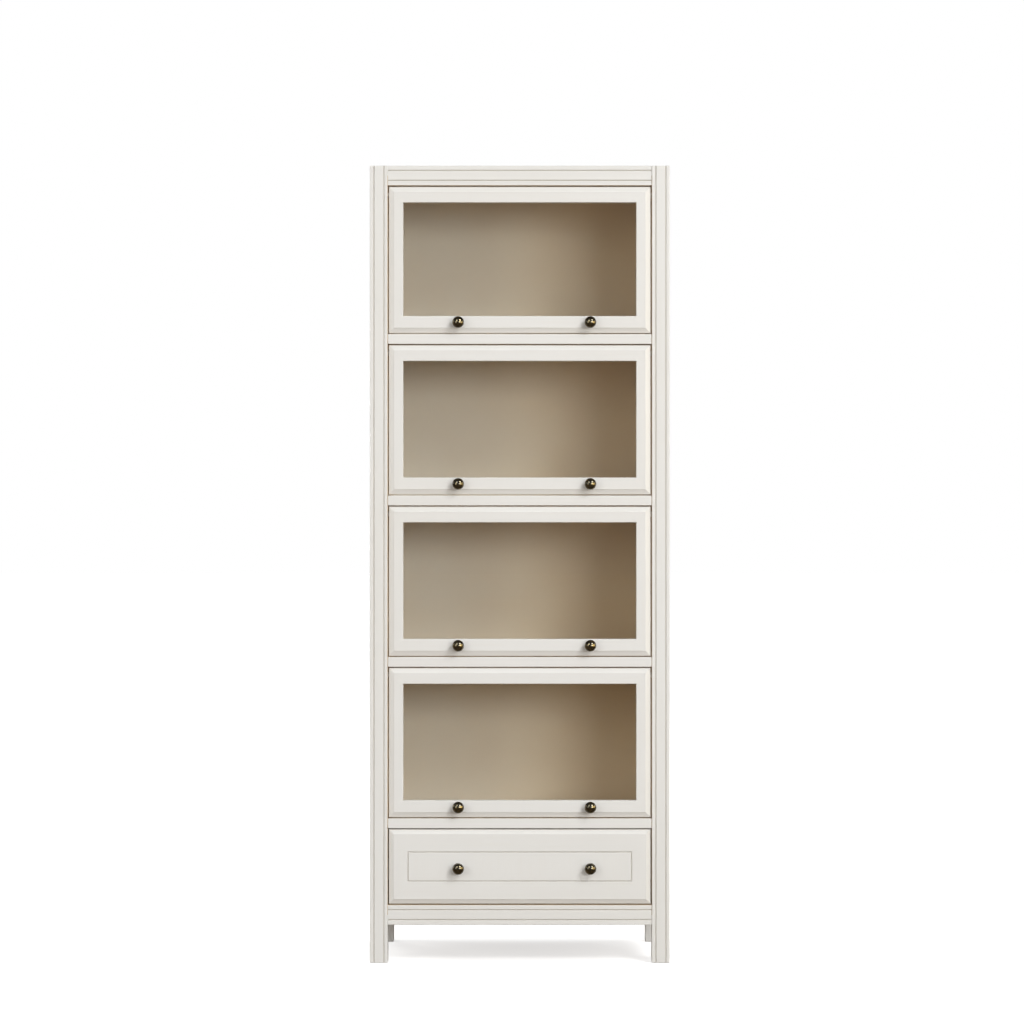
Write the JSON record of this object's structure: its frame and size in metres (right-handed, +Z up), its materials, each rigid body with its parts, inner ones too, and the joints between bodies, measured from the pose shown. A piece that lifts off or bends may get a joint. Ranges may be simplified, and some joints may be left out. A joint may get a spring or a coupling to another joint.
{
  "type": "barrister bookcase",
  "caption": "Tall narrow bookcase on square legs: glazed doors lift by round knobs and slide back over the shelves, above a drawer.",
  "frame": {"origin": "on the floor, under the middle of the whole piece with its knobs", "axes": "+Z up, the front faces -Y, the right-hand side seen from the front is at +X"},
  "size_m": [0.6, 0.373, 1.595],
  "materials": {
    "white_paint": "satin off-white paint on wood",
    "taupe_paint": "eggshell taupe paint on board, off-white on the front edges",
    "birch": "clear sealed birch ply",
    "glass": "clear float glass",
    "glazing_bead": "satin off-white paint",
    "aged_brass": "dark antique brass, polished high spots",
    "steel": "zinc-plated steel"
  },
  "bodies": {
    "case": {"post_front_left": "white_paint", "post_front_right": "white_paint", "post_rear_left": "white_paint", "post_rear_right": "white_paint", "side_panel_left": "white_paint", "side_panel_right": "white_paint", "side_rail_top_left": "white_paint", "side_rail_top_right": "white_paint", "side_rail_bottom_left": "white_paint", "side_rail_bottom_right": "white_paint", "front_rail_top": "white_paint", "front_rail_bottom": "white_paint", "rear_rail_top": "white_paint", "rear_rail_bottom": "white_paint", "top_board": "white_paint", "bottom_board": "taupe_paint", "shelf_1": "taupe_paint", "shelf_2": "taupe_paint", "shelf_3": "taupe_paint", "shelf_4": "taupe_paint", "back_panel": "taupe_paint", "slide_channel_left": "steel", "slide_channel_right": "steel"},
    "carriage_1": {"door_1_carriage": "steel"},
    "carriage_2": {"door_2_carriage": "steel"},
    "carriage_3": {"door_3_carriage": "steel"},
    "carriage_4": {"door_4_carriage": "steel"},
    "door_1": {"door_1_frame": "white_paint", "door_1_glass": "glass", "door_1_bead": "glazing_bead", "door_1_knob_left": "aged_brass", "door_1_knob_right": "aged_brass"},
    "door_2": {"door_2_frame": "white_paint", "door_2_glass": "glass", "door_2_bead": "glazing_bead", "door_2_knob_left": "aged_brass", "door_2_knob_right": "aged_brass"},
    "door_3": {"door_3_frame": "white_paint", "door_3_glass": "glass", "door_3_bead": "glazing_bead", "door_3_knob_left": "aged_brass", "door_3_knob_right": "aged_brass"},
    "door_4": {"door_4_frame": "white_paint", "door_4_glass": "glass", "door_4_bead": "glazing_bead", "door_4_knob_left": "aged_brass", "door_4_knob_right": "aged_brass"},
    "drawer": {"drawer_front": "white_paint", "drawer_side_left": "birch", "drawer_side_right": "birch", "drawer_back": "birch", "drawer_bottom": "birch", "drawer_knob_left": "aged_brass", "drawer_knob_right": "aged_brass", "drawer_runner_left": "steel", "drawer_runner_right": "steel"}
  },
  "joints": [
    {"name": "door_1_slide", "type": "slide", "parent": "case", "child": "carriage_1", "axis": [0, 1, 0], "range_m": [0, 0.228]},
    {"name": "door_1_lift", "type": "hinge", "parent": "carriage_1", "child": "door_1", "pos_m": [0, -0.1525, 1.538], "axis": [-1, 0, 0], "range_deg": [0, 90]},
    {"name": "door_2_slide", "type": "slide", "parent": "case", "child": "carriage_2", "axis": [0, 1, 0], "range_m": [0, 0.234]},
    {"name": "door_2_lift", "type": "hinge", "parent": "carriage_2", "child": "door_2", "pos_m": [0, -0.1525, 1.221], "axis": [-1, 0, 0], "range_deg": [0, 90]},
    {"name": "door_3_slide", "type": "slide", "parent": "case", "child": "carriage_3", "axis": [0, 1, 0], "range_m": [0, 0.234]},
    {"name": "door_3_lift", "type": "hinge", "parent": "carriage_3", "child": "door_3", "pos_m": [0, -0.1525, 0.898], "axis": [-1, 0, 0], "range_deg": [0, 90]},
    {"name": "door_4_slide", "type": "slide", "parent": "case", "child": "carriage_4", "axis": [0, 1, 0], "range_m": [0, 0.234]},
    {"name": "door_4_lift", "type": "hinge", "parent": "carriage_4", "child": "door_4", "pos_m": [0, -0.1525, 0.575], "axis": [-1, 0, 0], "range_deg": [0, 90]},
    {"name": "drawer_slide", "type": "slide", "parent": "case", "child": "drawer", "axis": [0, -1, 0], "range_m": [0, 0.24]}
  ]
}
